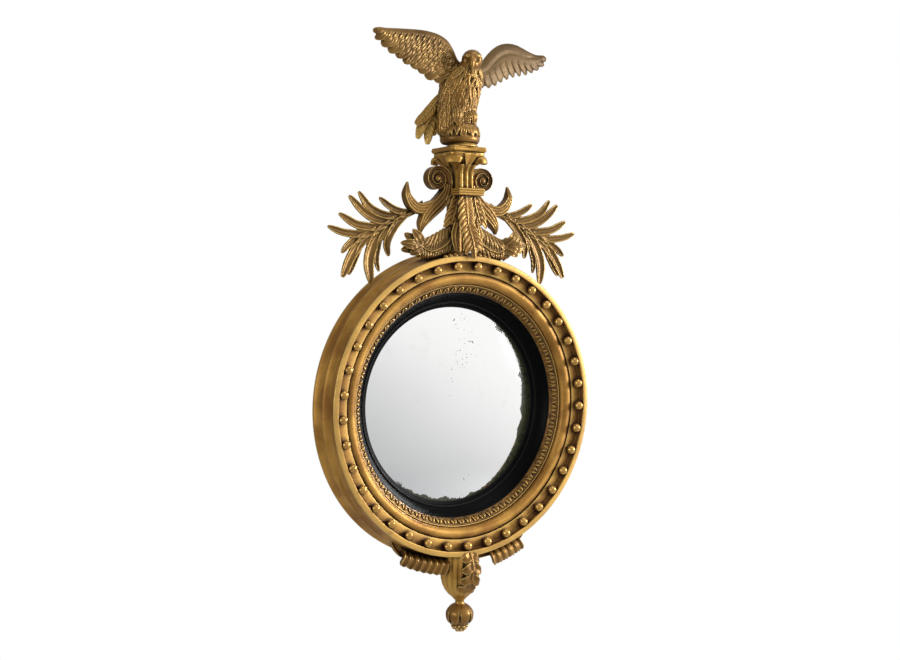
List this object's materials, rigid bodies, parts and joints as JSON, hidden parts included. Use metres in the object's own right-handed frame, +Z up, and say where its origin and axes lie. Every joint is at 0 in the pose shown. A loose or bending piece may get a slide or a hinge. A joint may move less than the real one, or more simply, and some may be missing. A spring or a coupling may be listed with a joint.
{
  "type": "girandole mirror",
  "caption": "Round convex wall mirror in a deep gilt frame with balls in a channel, a black slip, an eagle and palm frond cresting and a leafy apron with a bud.",
  "frame": {"origin": "centre of the round frame on the wall plane, the rear face of the backboard", "axes": "+X to the viewer's right, +Y into the wall, +Z up"},
  "size_m": [0.58, 0.1026, 1.1191],
  "materials": {
    "gilt_wood": "water gilt over gesso and red bole on carved pine, rubbed and dusty in the hollows",
    "gilt_composition": "gilt composition ornament, dark in the hollows",
    "ebonised_wood": "satin ebonised, softly reflecting",
    "silvered_glass": "old silvering, foxed and dark at the edge",
    "pine": "bare aged softwood",
    "brass": "dull brass",
    "steel_screws": "dull steel",
    "iron": "blackened wrought iron"
  },
  "bodies": {
    "mirror": {"abacus": "gilt_wood", "apron_cup": "gilt_wood", "apron_leaf": "gilt_wood", "apron_spray_left": "gilt_wood", "apron_spray_right": "gilt_wood", "apron_strap": "iron", "backboard": "pine", "backboard_screws": "steel_screws", "berry_cluster": "gilt_composition", "capital": "gilt_wood", "centre_leaf": "gilt_wood", "channel_balls": "gilt_wood", "collar_block": "gilt_wood", "crest_dowels": "pine", "crest_post": "pine", "crest_shaft": "gilt_wood", "crest_strap": "iron", "eagle_body": "gilt_wood", "eagle_legs": "gilt_wood", "eagle_tail": "gilt_wood", "eagle_wing_left": "gilt_wood", "eagle_wing_right": "gilt_wood", "ebonised_slip": "ebonised_wood", "finial_berry": "gilt_wood", "finial_bud": "gilt_wood", "finial_neck": "gilt_wood", "frame_carcass": "gilt_wood", "glazing_pads": "pine", "hanger_plate_left": "brass", "hanger_plate_right": "brass", "hanger_screws": "brass", "leaf_band": "gilt_composition", "mirror_glass": "silvered_glass", "palm_frond_left": "gilt_wood", "palm_frond_right": "gilt_wood", "plinth_ring": "gilt_wood", "rock_mound": "gilt_wood", "scroll_left": "gilt_wood", "scroll_right": "gilt_wood", "side_leaves": "gilt_wood", "strap_screws": "steel_screws", "swag_left": "gilt_wood", "swag_right": "gilt_wood", "torus_ring": "gilt_wood"},
    "hang_ring_left": {"d_ring_left": "brass"},
    "hang_ring_right": {"d_ring_right": "brass"}
  },
  "joints": [
    {"name": "ring_left_swing", "type": "hinge", "parent": "mirror", "child": "hang_ring_left", "pos_m": [-0.19, -0.00342, 0.17778], "axis": [-1, 0, 0], "range_deg": [0, 176]},
    {"name": "ring_right_swing", "type": "hinge", "parent": "mirror", "child": "hang_ring_right", "pos_m": [0.19, -0.00342, 0.17778], "axis": [-1, 0, 0], "range_deg": [0, 176]}
  ]
}
